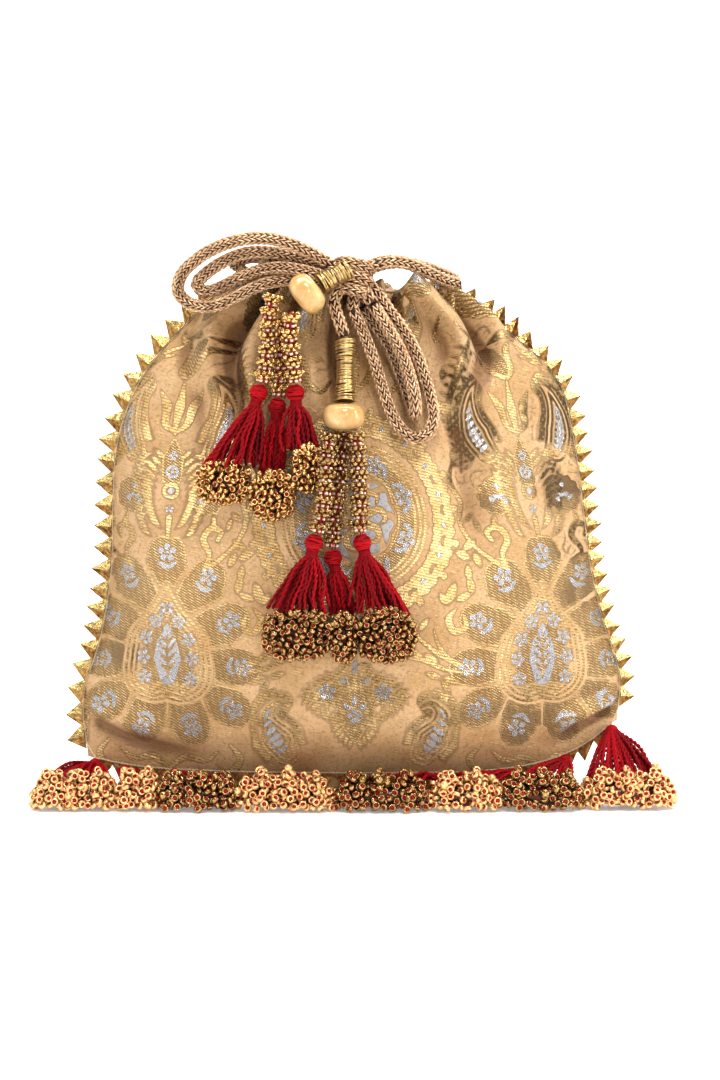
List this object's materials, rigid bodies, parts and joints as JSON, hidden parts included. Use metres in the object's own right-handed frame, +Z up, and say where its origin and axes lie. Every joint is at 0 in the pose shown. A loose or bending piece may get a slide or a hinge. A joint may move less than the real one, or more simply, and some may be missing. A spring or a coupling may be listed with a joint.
{
  "type": "potli bag",
  "caption": "Drawstring pouch of two brocade panels with a knit drawcord tied in a bow, beaded thread tassels and a bead fringe.",
  "frame": {"origin": "centre of the footprint of the pouch with its fringe, on the surface it stands on", "axes": "+Z up, the front of the pouch with its pendants faces -Y, +X to the right seen from the front"},
  "size_m": [0.2536, 0.0914, 0.2285],
  "materials": {
    "brocade": "satin ground with gold and silver zari brocade",
    "lining": "plain satin lining",
    "seam_cord": "fine whipped cord, pale gold",
    "gota_foil": "folded metallic ribbon, bright gold",
    "knit_cord": "tubular knit of rose-gold metallic yarn",
    "wire_wrap": "fine gold wire wound close",
    "jade": "polished honey-cream stone, slightly translucent",
    "gold_beads": "gold metallic seed beads",
    "antique_beads": "dark antique gold seed beads",
    "red_thread": "glossy twisted crimson thread"
  },
  "bodies": {
    "root": {"front_panel": "brocade", "back_panel": "brocade", "lining_bag": "lining", "seam_cord": "seam_cord", "gota_trim_left": "gota_foil", "gota_trim_right": "gota_foil", "gota_trim_bottom": "gota_foil", "casing_cord_front": "knit_cord", "casing_cord_back": "knit_cord", "drawcord_left_run": "knit_cord", "drawcord_right_front": "knit_cord", "drawcord_right_back": "knit_cord", "bow_loop_left_outer": "knit_cord", "bow_loop_left_inner": "knit_cord", "bow_loop_right_outer": "knit_cord", "bow_loop_right_inner": "knit_cord", "bow_knot": "knit_cord", "pendant_tail": "knit_cord", "neck_wrap_1": "wire_wrap", "neck_wrap_2": "wire_wrap", "jade_bead_1": "jade", "jade_bead_2": "jade", "pendant_1_strand_1": "gold_beads", "pendant_1_tassel_1": "red_thread", "pendant_1_beads_1": "gold_beads", "pendant_1_strand_2": "gold_beads", "pendant_1_tassel_2": "red_thread", "pendant_1_beads_2": "gold_beads", "pendant_1_strand_3": "gold_beads", "pendant_1_tassel_3": "red_thread", "pendant_1_beads_3": "gold_beads", "pendant_2_strand_1": "antique_beads", "pendant_2_tassel_1": "red_thread", "pendant_2_beads_1": "antique_beads", "pendant_2_strand_2": "antique_beads", "pendant_2_tassel_2": "red_thread", "pendant_2_beads_2": "antique_beads", "pendant_2_strand_3": "antique_beads", "pendant_2_tassel_3": "red_thread", "pendant_2_beads_3": "antique_beads", "fringe_tassel_1": "red_thread", "fringe_beads_1": "gold_beads", "fringe_tassel_2": "red_thread", "fringe_beads_2": "gold_beads", "fringe_tassel_3": "red_thread", "fringe_beads_3": "antique_beads", "fringe_tassel_4": "red_thread", "fringe_beads_4": "gold_beads", "fringe_tassel_5": "red_thread", "fringe_beads_5": "antique_beads", "fringe_tassel_6": "red_thread", "fringe_beads_6": "gold_beads", "fringe_tassel_7": "red_thread", "fringe_beads_7": "antique_beads", "fringe_tassel_8": "red_thread", "fringe_beads_8": "gold_beads"}
  },
  "joints": []
}
